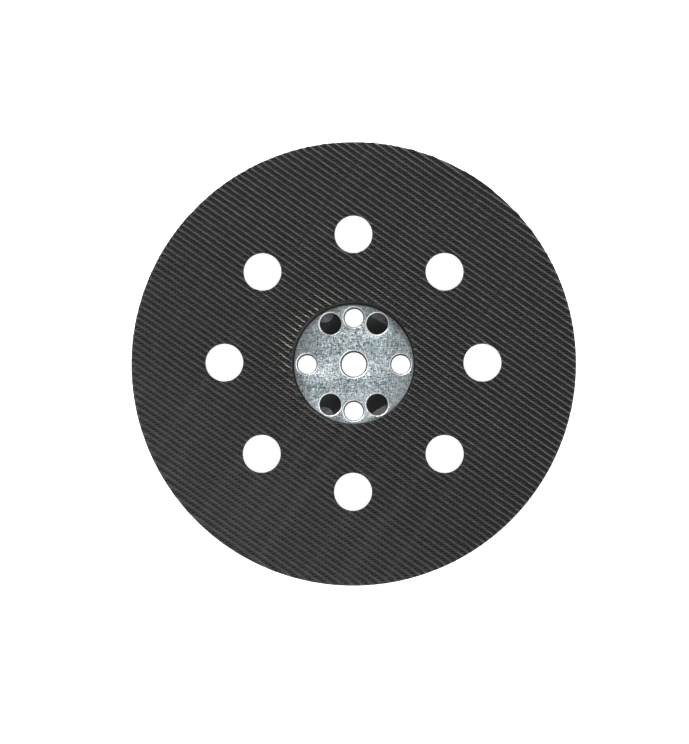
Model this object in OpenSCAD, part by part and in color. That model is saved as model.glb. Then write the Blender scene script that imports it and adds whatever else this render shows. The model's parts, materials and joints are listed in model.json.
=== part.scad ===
// Backing pad of an orbital sander: the round sanding plate that the machine drives.
// It lies on its back. +Z runs along its axis towards the hook face, +Y towards one
// pair of dust holes, and the origin is the centre of the rim that it lies on.

/* [Pad] */
// Diameter of the hook face and of the cushion
pad_d = 115; // [105:0.5:150]
// Height of the pad, from the rim on its back to the hook tips
pad_h = 16; // [14.5:0.5:24]

/* [Hook cloth] */
// Thickness of the hook cloth, its hooks included
cloth_t = 1.2; // [0.8:0.1:2]
// Thickness of the film that bonds the cloth to the cushion
film_t = 0.2; // [0.1:0.05:0.5]

/* [Dust holes] */
// Number of dust holes
dust_n = 8; // [4:1:8]
// Diameter of the circle that the dust holes lie on
dust_pcd = 66.7; // [62:0.1:82]
// Diameter of a dust hole where it is punched through the hook cloth
dust_d = 9.75; // [6:0.05:12]
// How much wider each side of a dust hole is at the back of the pad than at its face
dust_flare = 2; // [0.8:0.1:2.4]
// Wall of the collar round each dust hole on the carrier
collar_wall = 1.5; // [1:0.1:2]
// How far the collars stand out of the carrier's back
collar_h = 3.5; // [1:0.1:4]

/* [Hub recess] */
// Diameter of the recess in the hook face
recess_d = 32; // [28:0.1:39]
// Gap between the hub plate's edge and the recess wall
hub_gap = 0.32; // [0.22:0.05:0.82]
// Depth of the hub plate's face below the hook tips
hub_sink = 6.2; // [4:0.1:7]
// Thickness of the hub plate
hub_t = 1.5; // [1:0.1:2.5]
// Roll of the hub plate's outer edge
hub_roll = 0.3; // [0.15:0.05:0.35]
// Chamfer round the hub plate's holes
hub_chamfer = 0.2; // [0.1:0.05:0.3]
// Diameter of the hub plate's centre bore
bore_d = 7; // [6:0.1:9]
// Clearance between the hub plate and the carrier's lip that holds it
plate_clear = 0.1; // [0.05:0.05:0.25]

/* [Screw holes] */
// Number of screw holes in the hub plate
screw_n = 4; // [4:1:4]
// Diameter of the circle that the screw holes and the windows lie on
screw_pcd = 24.4; // [23:0.1:24.6]
// Diameter of a screw hole in the hub plate
screw_d = 5.3; // [4:0.1:5.5]
// Diameter of the plate's four other holes, with the carrier closed behind them
window_d = 5.6; // [4:0.1:5.8]
// Angle from the X axis to each of those four holes
window_angle = 60; // [59:0.5:61]
// Depth of the carrier's pocket behind each of those four holes
window_depth = 2.4; // [1.5:0.1:3]
// Diameter of the round stud in two of the pockets
stud_d = 5; // [4:0.1:5]
// Height of that stud over the pocket's floor
stud_h = 1.4; // [0.5:0.1:1.4]
// Distance of that stud's centre outwards from the pocket's centre
stud_out = 3.4; // [3:0.1:4]
// Height of the straight key in the other two pockets
key_h = 1.2; // [0.5:0.1:1.4]
// Distance of that key's edge outwards from the pocket's centre
key_out = 1; // [0.5:0.1:2]

/* [Carrier] */
// Diameter of the carrier's flange, inside the cushion
carrier_d = 98; // [92:0.5:102]
// Thickness of the carrier's flange
flange_t = 2.5; // [2:0.1:3]
// How far the rim stands out of the flange's back
rim_h = 5.5; // [4:0.1:7]
// Outer diameter of the rim
rim_d = 91; // [88:0.5:92]
// Wall of the rim
rim_wall = 2.2; // [1.5:0.1:3]
// Diameter of the boss that seats on the machine's flange
boss_d = 38; // [36:0.5:40]
// How far the boss's seat stands back from the rim's edge
seat_sink = 1.2; // [0:0.1:2]
// Width of the lip that holds the hub plate
lip_wall = 1.8; // [1:0.1:2.5]
// Height of that lip over the plate's seat
lip_h = 1.1; // [0.5:0.1:1.4]
// Number of ribs, one between each two dust holes
rib_n = 8; // [4:1:8]
// Thickness of a rib
rib_t = 1.8; // [1:0.1:2.5]
// How far a rib stands out of the flange's back
rib_h = 3.6; // [1:0.1:4]
// How much smaller the carrier's centre hole is than the plate's, on each side
bore_step = 0.3; // [0.1:0.05:0.4]
// How much smaller the carrier's screw holes are than the plate's, on each side
screw_step = 0.2; // [0.2:0.05:0.4]
// Length of the narrow part of the carrier's holes
step_h = 1; // [0.5:0.1:1.5]
// How much wider the carrier's holes are behind their narrow part, on each side
relief = 0.5; // [0.2:0.05:0.6]

/* [Cushion] */
// Height of the cushion's upright side, under the hook cloth
side_h = 1; // [0.6:0.1:5]
// Wall of the cushion round the carrier's flange
wrap = 2; // [1:0.1:4]
// Radius of the cushion's edge at its back
back_edge_r = 0.8; // [0.3:0.1:1.5]
// Radius of the cushion's edge under the hook cloth
face_edge_r = 0.4; // [0.2:0.1:0.8]

/* [Hidden] */
$fn = 96;
past = 1;
arc_steps = 6;

// Heights of the faces between the pieces
cloth_z = pad_h - cloth_t;
film_z = cloth_z - film_t;
plate_top_z = pad_h - hub_sink;
plate_z = plate_top_z - hub_t;
flange_z = rim_h;
flange_top_z = flange_z + flange_t;
lip_top_z = plate_z + lip_h;
step_z = plate_z - step_h;

// Radii that several pieces share
pad_r = pad_d / 2;
recess_r = recess_d / 2;
plate_r = recess_r - hub_gap;
lip_in_r = plate_r + plate_clear;
lip_out_r = lip_in_r + lip_wall;
carrier_r = carrier_d / 2;
wrap_r = min(carrier_r + wrap, pad_r - back_edge_r);
dust_r = dust_pcd / 2;
screw_r = screw_pcd / 2;
window_r = window_d / 2;

window_angles = [window_angle, 180 - window_angle, 180 + window_angle, 360 - window_angle];
stud_angles = [180 - window_angle, 180 + window_angle];
key_angles = [window_angle, 360 - window_angle];

// Radius of a dust hole at a height: it widens steadily from the face to the back
function duct_r(z) = dust_d / 2 + dust_flare * (pad_h - z) / pad_h;

// Points of a quarter arc of a given radius, from one angle to another
function arc(x, y, r, from, to) =
    [for (i = [0 : arc_steps]) let (a = from + (to - from) * i / arc_steps)
        [x + r * cos(a), y + r * sin(a)]];

// Places a copy of the children at each of n steps round the axis, at a radius
module around(n, r) {
    for (i = [0 : n - 1])
        rotate([0, 0, i * 360 / n])
            translate([r, 0, 0])
                children();
}

// Places a copy of the children at each listed angle, at a radius
module at_angles(angles, r) {
    for (a = angles)
        rotate([0, 0, a])
            translate([r, 0, 0])
                children();
}

// A flat ring between two heights
module ring(r_in, r_out, z_low, z_high) {
    translate([0, 0, z_low])
        difference() {
            cylinder(r = r_out, h = z_high - z_low);
            translate([0, 0, -past])
                cylinder(r = r_in, h = z_high - z_low + 2 * past);
        }
}

// A layer of the face with the dust holes punched through it
module punched_layer(z_low, z_high) {
    difference() {
        ring(recess_r, pad_r, z_low, z_high);
        around(dust_n, dust_r)
            translate([0, 0, z_low - past])
                cylinder(d = dust_d, h = z_high - z_low + 2 * past);
    }
}

// The tapered cutter of all dust holes, from one height to another
module dust_ducts(z_low, z_high) {
    around(dust_n, dust_r)
        translate([0, 0, z_low])
            cylinder(r1 = duct_r(z_low), r2 = duct_r(z_high), h = z_high - z_low);
}

module hook_cloth() {
    color("#3c3b3d")
        punched_layer(cloth_z, pad_h);
}

module bond_film() {
    color("#6b6456")
        punched_layer(film_z, cloth_z);
}

// Moulded foam ring: upright under the cloth, tapering in to the carrier's edge
module foam_cushion() {
    side_z = film_z - side_h;
    outline = concat(
        [[lip_out_r, flange_top_z], [carrier_r, flange_top_z], [carrier_r, flange_z]],
        arc(wrap_r - back_edge_r, flange_z + back_edge_r, back_edge_r, -90, 0),
        [[pad_r, side_z]],
        arc(pad_r - face_edge_r, film_z - face_edge_r, face_edge_r, 0, 90),
        [[recess_r, film_z], [recess_r, lip_top_z], [lip_out_r, lip_top_z]]
    );
    color("#232325")
        difference() {
            rotate_extrude()
                polygon(outline);
            dust_ducts(flange_z - past, pad_h);
        }
}

// What lies over a pocket's floor, inside the pocket's wall
module in_pocket(pocket_z) {
    intersection() {
        cylinder(r = window_r, h = plate_z);
        translate([0, 0, pocket_z - past])
            children();
    }
}

// Round stud in a pocket, on the side away from the axis
module pocket_stud(pocket_z) {
    in_pocket(pocket_z)
        translate([stud_out, 0, 0])
            cylinder(d = stud_d, h = past + stud_h);
}

// Straight key in a pocket, on the side away from the axis
module pocket_key(pocket_z) {
    in_pocket(pocket_z)
        translate([key_out, -window_d, 0])
            cube([window_d, 2 * window_d, past + key_h]);
}

// Moulded nylon carrier: flange, seating boss, rim, ribs, dust collars and plate lip
module carrier_plate() {
    pocket_z = plate_z - window_depth;
    outline = [
        [0, seat_sink], [boss_d / 2, seat_sink], [boss_d / 2, flange_z],
        [rim_d / 2 - rim_wall, flange_z], [rim_d / 2 - rim_wall, 0],
        [rim_d / 2, 0], [rim_d / 2, flange_z],
        [carrier_r, flange_z], [carrier_r, flange_top_z],
        [lip_out_r, flange_top_z], [lip_out_r, lip_top_z],
        [lip_in_r, lip_top_z], [lip_in_r, plate_z], [0, plate_z]
    ];
    color("#1b1b1d") {
        difference() {
            union() {
                rotate_extrude()
                    polygon(outline);
                around(dust_n, dust_r)
                    translate([0, 0, flange_z - collar_h])
                        cylinder(r = duct_r(0) + collar_wall, h = collar_h + past);
                rotate([0, 0, 180 / rib_n])
                    around(rib_n, boss_d / 2 - past)
                        translate([0, -rib_t / 2, flange_z - rib_h])
                            cube([(rim_d - boss_d) / 2 - rim_wall + 2 * past, rib_t, rib_h + past]);
            }
            dust_ducts(-past, flange_top_z + past);
            carrier_hole(bore_d / 2 - bore_step);
            around(screw_n, screw_r)
                carrier_hole(screw_d / 2 - screw_step);
            at_angles(window_angles, screw_r)
                translate([0, 0, pocket_z])
                    cylinder(r = window_r, h = window_depth + past);
        }
        at_angles(stud_angles, screw_r)
            pocket_stud(pocket_z);
        at_angles(key_angles, screw_r)
            pocket_key(pocket_z);
    }
}

// Stepped hole through the carrier's boss, behind a hole of the plate
module carrier_hole(narrow_r) {
    translate([0, 0, -past])
        cylinder(r = narrow_r + relief, h = step_z + past);
    translate([0, 0, step_z - past])
        cylinder(r = narrow_r, h = step_h + 2 * past);
}

// Hole through the hub plate, chamfered at its face
module plate_hole(r) {
    translate([0, 0, plate_z - past])
        cylinder(r = r, h = hub_t + 2 * past);
    translate([0, 0, plate_top_z - hub_chamfer])
        cylinder(r1 = r, r2 = r + hub_chamfer + past, h = hub_chamfer + past);
}

// Zinc-plated steel plate at the bottom of the recess
module hub_plate() {
    outline = concat(
        [[0, plate_z], [plate_r, plate_z]],
        arc(plate_r - hub_roll, plate_top_z - hub_roll, hub_roll, 0, 90),
        [[0, plate_top_z]]
    );
    color("#c2c9cc")
        difference() {
            rotate_extrude()
                polygon(outline);
            plate_hole(bore_d / 2);
            around(screw_n, screw_r)
                plate_hole(screw_d / 2);
            at_angles(window_angles, screw_r)
                plate_hole(window_r);
        }
}

hook_cloth();
bond_film();
foam_cushion();
carrier_plate();
hub_plate();
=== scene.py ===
"""Looks of an orbital sander's backing pad, lying on its back with its hook face up.

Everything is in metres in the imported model's frame. The CAD model gives every size that is
the pad's own. The classes here add what it is too plain for: the woven hook tape with its
rows of hooks, the moulded cushion and carrier, and the zinc-plated hub plate.
"""
import json
import logging
import math
from dataclasses import dataclass, field
from enum import Enum
from typing import Any

import bmesh
import bpy
from mathutils import Matrix, Vector


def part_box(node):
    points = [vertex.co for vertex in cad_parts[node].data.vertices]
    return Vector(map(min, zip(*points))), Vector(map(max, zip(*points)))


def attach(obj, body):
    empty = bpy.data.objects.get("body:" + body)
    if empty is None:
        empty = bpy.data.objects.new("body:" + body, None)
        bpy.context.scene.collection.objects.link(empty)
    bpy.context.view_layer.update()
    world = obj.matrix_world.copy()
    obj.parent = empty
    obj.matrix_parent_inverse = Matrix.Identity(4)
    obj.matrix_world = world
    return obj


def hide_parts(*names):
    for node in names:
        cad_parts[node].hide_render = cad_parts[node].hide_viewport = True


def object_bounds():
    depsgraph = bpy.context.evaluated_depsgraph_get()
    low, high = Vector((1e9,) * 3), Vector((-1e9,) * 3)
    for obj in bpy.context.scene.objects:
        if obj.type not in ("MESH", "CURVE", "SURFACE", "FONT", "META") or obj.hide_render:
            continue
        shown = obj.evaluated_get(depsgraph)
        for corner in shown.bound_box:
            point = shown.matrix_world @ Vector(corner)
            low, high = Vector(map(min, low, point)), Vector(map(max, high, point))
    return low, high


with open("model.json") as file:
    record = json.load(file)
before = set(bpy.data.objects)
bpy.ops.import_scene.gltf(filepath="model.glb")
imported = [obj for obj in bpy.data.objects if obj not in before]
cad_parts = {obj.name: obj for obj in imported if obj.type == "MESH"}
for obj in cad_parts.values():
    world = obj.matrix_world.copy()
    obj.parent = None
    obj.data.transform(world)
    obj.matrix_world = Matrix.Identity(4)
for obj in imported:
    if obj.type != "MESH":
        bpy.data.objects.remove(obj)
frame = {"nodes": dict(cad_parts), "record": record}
CAD_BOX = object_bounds()

MM = 0.001
BODY = "root"
LOG = logging.getLogger("backing_pad")
Socket = bpy.types.NodeSocket


# --------------------------------------------------------------------------- helpers


def linear(hex_colour: str) -> tuple[float, float, float, float]:
    """Turns an sRGB hex colour into linear RGBA.

    Args:
        hex_colour: Six hex digits, such as "3a3a3c".

    Returns:
        Linear red, green and blue from 0 to 1, with alpha 1.
    """
    parts = [int(hex_colour[i : i + 2], 16) / 255 for i in (0, 2, 4)]
    low = [c / 12.92 if c <= 0.04045 else ((c + 0.055) / 1.055) ** 2.4 for c in parts]
    return (*low, 1.0)


def add_node(tree: bpy.types.NodeTree, kind: str, inputs: dict | None = None, **settings: Any) -> Any:
    """Adds a node with its settings, and sets or links its inputs.

    Args:
        tree: The node tree to add to.
        kind: The node's type name.
        inputs: For each input's name or number, a value, or a socket to link from.
        settings: Attributes of the node itself.

    Returns:
        The new node.
    """
    node = tree.nodes.new(kind)
    for name, value in settings.items():
        setattr(node, name, value)
    for key, value in (inputs or {}).items():
        if isinstance(value, Socket):
            tree.links.new(value, node.inputs[key])
        else:
            node.inputs[key].default_value = value
    return node


def output_of(tree: bpy.types.NodeTree, kind: str, *inputs: Any, **settings: Any) -> Socket:
    """Adds a node whose inputs are given in order.

    Args:
        tree: The node tree to add to.
        kind: The node's type name.
        inputs: A value, or a socket to link from, for each input from the first.
        settings: Attributes of the node itself.

    Returns:
        The node's first output.
    """
    return add_node(tree, kind, dict(enumerate(inputs)), **settings).outputs[0]


def circle_points(radius: float, count: int, centre: tuple[float, float] = (0, 0)) -> list[Vector]:
    """Points evenly spaced on a circle in the XY plane.

    Args:
        radius: The circle's radius.
        count: How many points.
        centre: The circle's centre.

    Returns:
        The points, in order.
    """
    turn = 2 * math.pi / count
    cx, cy = centre
    return [
        Vector((cx + radius * math.cos(i * turn), cy + radius * math.sin(i * turn), 0))
        for i in range(count)
    ]


def finish_piece(
    name: str, mesh: bpy.types.Mesh, material: bpy.types.Material | None, sharp_degrees: float = 35
) -> bpy.types.Object:
    """Makes a finished piece of a mesh, smooth except at its sharp edges.

    Args:
        name: The piece's name.
        mesh: Its mesh, in place.
        material: Its finish, or None where the mesh has one already.
        sharp_degrees: The least angle between faces that stays a sharp edge.

    Returns:
        The linked object, at the origin.
    """
    mesh.name = name
    if material is not None:
        mesh.materials.clear()
        mesh.materials.append(material)
    mesh.polygons.foreach_set("use_smooth", [True] * len(mesh.polygons))
    mesh.set_sharp_from_angle(angle=math.radians(sharp_degrees))
    piece = bpy.data.objects.new(name, mesh)
    bpy.context.scene.collection.objects.link(piece)
    LOG.info("%s: %d faces", name, len(mesh.polygons))
    return piece


def evaluated_mesh(piece: bpy.types.Object) -> bpy.types.Mesh:
    """The plain mesh that an object's modifiers make.

    Args:
        piece: The object, which is removed afterwards.

    Returns:
        A new mesh.
    """
    depsgraph = bpy.context.evaluated_depsgraph_get()
    mesh = bpy.data.meshes.new_from_object(piece.evaluated_get(depsgraph))
    bpy.data.objects.remove(piece)
    return mesh


def filled_plate(
    outlines: list[list[Vector]], z_low: float, z_high: float, edge: float, steps: int = 3
) -> bpy.types.Mesh:
    """A flat plate with holes, whose edges are rounded.

    Args:
        outlines: The outer outline and those of the holes, as closed rings of points.
        z_low: Height of the plate's underside.
        z_high: Height of its upper face.
        edge: Radius of its edges.
        steps: How many strips each rounded edge has.

    Returns:
        The plate's closed mesh.
    """
    curve = bpy.data.curves.new("plate", "CURVE")
    curve.dimensions = "2D"
    curve.fill_mode = "BOTH"
    for outline in outlines:
        spline = curve.splines.new("POLY")
        spline.points.add(len(outline) - 1)
        spline.use_cyclic_u = True
        for point, place in zip(spline.points, outline):
            point.co = (place.x, place.y, 0, 1)
    curve.extrude = (z_high - z_low) / 2 - edge
    curve.bevel_depth = edge
    curve.bevel_resolution = steps - 1
    curve.offset = -edge
    holder = bpy.data.objects.new("plate", curve)
    bpy.context.scene.collection.objects.link(holder)
    mesh = evaluated_mesh(holder)
    bpy.data.curves.remove(curve)
    mesh.transform(Matrix.Translation((0, 0, (z_low + z_high) / 2)))
    tidy = bmesh.new()
    tidy.from_mesh(mesh)
    bmesh.ops.remove_doubles(tidy, verts=tidy.verts, dist=1e-7)
    bmesh.ops.recalc_face_normals(tidy, faces=tidy.faces)
    tidy.to_mesh(mesh)
    tidy.free()
    return mesh


def lathe(profile: list[tuple[float, float]], steps: int) -> bpy.types.Mesh:
    """Turns a closed profile round the Z axis.

    Args:
        profile: Radius and height of each point of the closed profile.
        steps: How many steps the turn has.

    Returns:
        A closed mesh with its faces outwards.
    """
    mesh = bpy.data.meshes.new("lathe")
    made = bmesh.new()
    rings = []
    for i in range(steps):
        a = 2 * math.pi * i / steps
        rings.append([made.verts.new((r * math.cos(a), r * math.sin(a), z)) for r, z in profile])
    for i, ring in enumerate(rings):
        after = rings[(i + 1) % steps]
        for k in range(len(profile)):
            n = (k + 1) % len(profile)
            made.faces.new((ring[k], after[k], after[n], ring[n]))
    bmesh.ops.recalc_face_normals(made, faces=made.faces)
    made.to_mesh(mesh)
    made.free()
    return mesh


def tube(points: list[Vector], radii: list[float], sides: int) -> bpy.types.Mesh:
    """A closed tube along a path in the XZ plane.

    Args:
        points: The path.
        radii: The tube's radius at each point.
        sides: How many sides it has.

    Returns:
        A closed mesh with its faces outwards.
    """
    mesh = bpy.data.meshes.new("tube")
    made = bmesh.new()
    across = Vector((0, 1, 0))
    rings = []
    for i, (point, radius) in enumerate(zip(points, radii)):
        along = (points[min(i + 1, len(points) - 1)] - points[max(i - 1, 0)]).normalized()
        over = along.cross(across).normalized()
        turns = [2 * math.pi * k / sides for k in range(sides)]
        rings.append(
            [made.verts.new(point + radius * (math.cos(t) * across + math.sin(t) * over)) for t in turns]
        )
    for ring, after in zip(rings, rings[1:]):
        for k in range(sides):
            n = (k + 1) % sides
            made.faces.new((ring[k], after[k], after[n], ring[n]))
    made.faces.new(rings[0])
    made.faces.new(rings[-1])
    bmesh.ops.recalc_face_normals(made, faces=made.faces)
    made.to_mesh(mesh)
    made.free()
    return mesh


# -------------------------------------------------------------------------- finishes


class Pattern(Enum):
    """How a finish's surface varies."""

    HOOK = "drawn monofilament, with its colour varying from hook to hook"
    YARN = "multifilament yarn, with a fine twist"
    SKIN = "moulded skin, with fine pores"
    SPARK = "mould texture from spark erosion"
    ZINC = "mottled zinc crystals with polishing marks"
    FILM = "melted film"


@dataclass(frozen=True)
class Finish:
    """A real material and how its surface was made.

    Attributes:
        name: The material's name.
        pattern: How its surface varies.
        base: Its main colour, as sRGB hex.
        second: The colour that it varies towards.
        roughness: Its mean roughness.
        spread: How far its roughness varies.
        metallic: 1 for a metal.
        grain: Size of its pattern, in metres.
        depth: Depth of its relief, in metres.
    """

    name: str
    pattern: Pattern
    base: str
    second: str
    roughness: float
    spread: float = 0.1
    metallic: float = 0.0
    grain: float = 0.5 * MM
    depth: float = 0.02 * MM

    def build(self) -> bpy.types.Material:
        """Builds the material.

        Returns:
            A node material on Object coordinates.
        """
        material = bpy.data.materials.new(self.name)
        material.use_nodes = True
        tree = material.node_tree
        tree.nodes.clear()
        shader = add_node(tree, "ShaderNodeBsdfPrincipled", {"Metallic": self.metallic})
        add_node(tree, "ShaderNodeOutputMaterial", {"Surface": shader.outputs["BSDF"]})
        place = add_node(tree, "ShaderNodeTexCoord").outputs["Object"]
        getattr(self, f"_{self.pattern.name.lower()}")(tree, shader, place)
        return material

    def _mix(self, tree: bpy.types.NodeTree, share: Socket) -> Socket:
        """The colour between base and second that a share gives.

        Args:
            tree: The material's node tree.
            share: From 0, the base colour, to 1, the second.

        Returns:
            The colour.
        """
        ramp = add_node(
            tree,
            "ShaderNodeMix",
            {"Factor": share, 6: linear(self.base), 7: linear(self.second)},
            data_type="RGBA",
        )
        return ramp.outputs[2]

    def _rough(self, tree: bpy.types.NodeTree, share: Socket) -> Socket:
        """The roughness that a share from 0 to 1 gives.

        Args:
            tree: The material's node tree.
            share: From 0, the least rough, to 1.

        Returns:
            The roughness.
        """
        low = max(0.03, self.roughness - self.spread)
        high = min(1.0, self.roughness + self.spread)
        ranged = add_node(tree, "ShaderNodeMapRange", {"Value": share, "To Min": low, "To Max": high})
        return ranged.outputs["Result"]

    def _mottle(self, tree: bpy.types.NodeTree, place: Socket, size: float, detail: float = 4) -> Socket:
        """How light each spot is, in patches of a size in metres.

        Args:
            tree: The material's node tree.
            place: The position on the piece.
            size: The patches' size.
            detail: How many finer levels they have.

        Returns:
            From 0 to 1.
        """
        noise = add_node(
            tree, "ShaderNodeTexNoise", {"Vector": place, "Scale": 1 / size, "Detail": detail}
        )
        return noise.outputs["Fac"]

    def _relief(self, tree: bpy.types.NodeTree, shader: Any, height: Socket) -> None:
        """Gives the shader a relief of this finish's depth.

        Args:
            tree: The material's node tree.
            shader: Its surface shader.
            height: The relief, from 0 to 1.
        """
        bump = add_node(tree, "ShaderNodeBump", {"Height": height, "Distance": self.depth})
        tree.links.new(bump.outputs["Normal"], shader.inputs["Normal"])

    def _share(self, tree: bpy.types.NodeTree, name: str, low: float = 0.0, high: float = 1.0) -> Socket:
        """A value that the piece's mesh carries, as a share of a range.

        Args:
            tree: The material's node tree.
            name: The attribute's name.
            low: The value that gives 0.
            high: The value that gives 1.

        Returns:
            The share.
        """
        value = add_node(tree, "ShaderNodeAttribute", attribute_name=name).outputs["Fac"]
        values = {"Value": value, "From Min": low, "From Max": high}
        return add_node(tree, "ShaderNodeMapRange", values).outputs["Result"]

    def _hook(self, tree: bpy.types.NodeTree, shader: Any, place: Socket) -> None:
        """Drawn nylon: each hook has its own shade of colour, with painted shade on the side where the
        key light falls off, a painted glint on some hooks beside the recess, and painted shade at its
        foot.

        Args:
            tree: The material's node tree.
            shader: Its surface shader.
            place: The position on the piece; not used here.
        """
        own = self._share(tree, "shade")
        # Painted shade: hooks on the side where the key light falls off are dimmed towards a darker
        # colour.
        worn = {"Factor": self._share(tree, "worn"), 6: self._mix(tree, own), 7: linear(SHADED_HOOK_NYLON)}
        used = add_node(tree, "ShaderNodeMix", worn, data_type="RGBA").outputs[2]
        # Painted glint: hooks beside the recess are mixed towards a pale colour.
        scuffed = {"Factor": self._share(tree, "scuffed"), 6: used, 7: linear(GLINT_NYLON)}
        back = add_node(tree, "ShaderNodeMix", scuffed, data_type="RGBA").outputs[2]
        # Painted shade: the hook runs down to a dark colour at its foot, near the ground cloth.
        rise = {"Factor": self._share(tree, "rise", 0.2, 0.85), 6: linear(PILE_FOOT_SHADE), 7: back}
        colour = add_node(tree, "ShaderNodeMix", rise, data_type="RGBA").outputs[2]
        tree.links.new(colour, shader.inputs["Base Color"])
        tree.links.new(self._rough(tree, own), shader.inputs["Roughness"])

    def _yarn(self, tree: bpy.types.NodeTree, shader: Any, place: Socket) -> None:
        """Twisted yarn: painted light on its crown and painted shade at its foot, evened out on the side
        where the key light falls off, and broken up by its filaments.

        Args:
            tree: The material's node tree.
            shader: Its surface shader.
            place: The position on the piece.
        """
        fine = self._mottle(tree, place, self.grain)
        # Painted shade at the yarn's foot and painted light on its crown, by its height.
        rise = self._share(tree, "rise", 0.16, 0.78)
        both = output_of(tree, "ShaderNodeMath", fine, 0.3, -0.15, operation="MULTIPLY_ADD")
        share = output_of(tree, "ShaderNodeMath", rise, both, operation="ADD", use_clamp=True)
        # Painted light: on the side where the key light falls off, the yarn's painted shade and light are
        # evened towards a middle level.
        light_evening, even_level = 0.95, 0.42
        worn = output_of(tree, "ShaderNodeMath", self._share(tree, "worn"), light_evening, operation="MULTIPLY")
        evened_share = add_node(tree, "ShaderNodeMix", {"Factor": worn, 2: share, 3: even_level}).outputs[0]
        tree.links.new(self._mix(tree, evened_share), shader.inputs["Base Color"])
        tree.links.new(self._rough(tree, fine), shader.inputs["Roughness"])
        self._relief(tree, shader, fine)

    def _skin(self, tree: bpy.types.NodeTree, shader: Any, place: Socket) -> None:
        """Moulded skin: broad cloudiness and fine closed pores.

        Args:
            tree: The material's node tree.
            shader: Its surface shader.
            place: The position on the piece.
        """
        cloud = self._mottle(tree, place, 12 * self.grain, 3)
        pores = add_node(
            tree, "ShaderNodeTexVoronoi", {"Vector": place, "Scale": 1 / self.grain, "Randomness": 1.0}
        ).outputs["Distance"]
        tree.links.new(self._mix(tree, cloud), shader.inputs["Base Color"])
        tree.links.new(self._rough(tree, cloud), shader.inputs["Roughness"])
        self._relief(tree, shader, pores)

    def _spark(self, tree: bpy.types.NodeTree, shader: Any, place: Socket) -> None:
        """Spark-eroded texture, with flow marks where the glass fibres lie.

        Args:
            tree: The material's node tree.
            shader: Its surface shader.
            place: The position on the piece.
        """
        flow = self._mottle(tree, place, 14 * self.grain, 4)
        fine = self._mottle(tree, place, self.grain, 3)
        tree.links.new(self._mix(tree, flow), shader.inputs["Base Color"])
        tree.links.new(self._rough(tree, fine), shader.inputs["Roughness"])
        self._relief(tree, shader, fine)

    def _film(self, tree: bpy.types.NodeTree, shader: Any, place: Socket) -> None:
        """A melted film, slightly uneven.

        Args:
            tree: The material's node tree.
            shader: Its surface shader.
            place: The position on the piece.
        """
        cloud = self._mottle(tree, place, self.grain, 3)
        tree.links.new(self._mix(tree, cloud), shader.inputs["Base Color"])
        tree.links.new(self._rough(tree, cloud), shader.inputs["Roughness"])

    def _zinc(self, tree: bpy.types.NodeTree, shader: Any, place: Socket) -> None:
        """Zinc plate: fine crystals and short rolling marks, clouded, with a passivation bloom.

        Args:
            tree: The material's node tree.
            shader: Its surface shader.
            place: The position on the piece.
        """
        marks = []
        for along, across in ((1.1, 0.3), (0.3, 1.1)):
            scaled = add_node(
                tree,
                "ShaderNodeMapping",
                {"Vector": place, "Scale": (self.grain / (along * MM), self.grain / (across * MM), 1)},
            ).outputs["Vector"]
            marks.append(self._mottle(tree, scaled, self.grain, 2))
        crystals = self._mottle(tree, place, self.grain, 2)
        clouds = self._mottle(tree, place, 22 * self.grain, 3)
        both = output_of(tree, "ShaderNodeMath", marks[0], marks[1], operation="ADD")
        fine = output_of(tree, "ShaderNodeMath", both, crystals, operation="ADD")
        fineness = 1.9
        total = output_of(tree, "ShaderNodeMath", fine, fineness, clouds, operation="MULTIPLY_ADD")
        share = add_node(
            tree, "ShaderNodeMapRange", {"Value": total, "From Min": 2.8, "From Max": 3.9}
        ).outputs["Result"]
        bloom = add_node(
            tree, "ShaderNodeTexNoise", {"Vector": place, "Scale": 1 / (12 * self.grain), "Detail": 2.0}
        ).outputs["Color"]
        tinted = add_node(
            tree,
            "ShaderNodeMix",
            {"Factor": 0.16, 6: self._mix(tree, share), 7: bloom},
            data_type="RGBA",
            blend_type="SOFT_LIGHT",
        ).outputs[2]
        tree.links.new(tinted, shader.inputs["Base Color"])
        tree.links.new(self._rough(tree, share), shader.inputs["Roughness"])
        self._relief(tree, shader, fine)


# Painted shade: the darker colour of hooks on the side where the key light falls off, whose round backs
# lose their highlight.
SHADED_HOOK_NYLON = "2f2e2d"
# Painted glint: a pale colour on some hooks beside the recess, standing in for the highlights they catch.
GLINT_NYLON = "aea78f"
# Painted shade: the hooks' colour at their feet, down in the dyed pile, where little light reaches.
PILE_FOOT_SHADE = "0b0b0c"
# Drawn nylon 6.6, dyed black in the melt: smooth, so its round back gives a thin bright line.
HOOK_NYLON = Finish("hook_nylon_monofilament", Pattern.HOOK, "545350", "696865", 0.34, 0.06)
# Twisted multifilament nylon, dyed black: dull, because its filaments scatter light. Its base colour is
# painted shade at the yarn's foot, and its second is painted light on its crown.
PILE_YARN = Finish(
    "pile_nylon_yarn", Pattern.YARN, "060606", "535255", 0.5, 0.1, grain=0.12 * MM, depth=0.02 * MM
)
# Woven polyester ground, dyed black and back-coated, and darker still as painted shade at the bottom of
# the pile.
GROUND_CLOTH = Finish(
    "ground_polyester_weave", Pattern.FILM, "040404", "090909", 0.8, 0.1, grain=0.2 * MM
)
# Polyurethane foam moulded against a waxed mould: a closed satin skin with fine pores.
FOAM_SKIN = Finish(
    "foam_polyurethane_skin", Pattern.SKIN, "0c0c0d", "141415", 0.6, 0.1, grain=0.6 * MM, depth=0.02 * MM
)
# Glass-filled nylon, moulded black against a spark-eroded mould: matt, with faint flow marks.
CARRIER_NYLON = Finish(
    "carrier_glass_nylon", Pattern.SPARK, "131315", "222224", 0.42, 0.1, grain=0.35 * MM, depth=0.015 * MM
)
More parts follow.
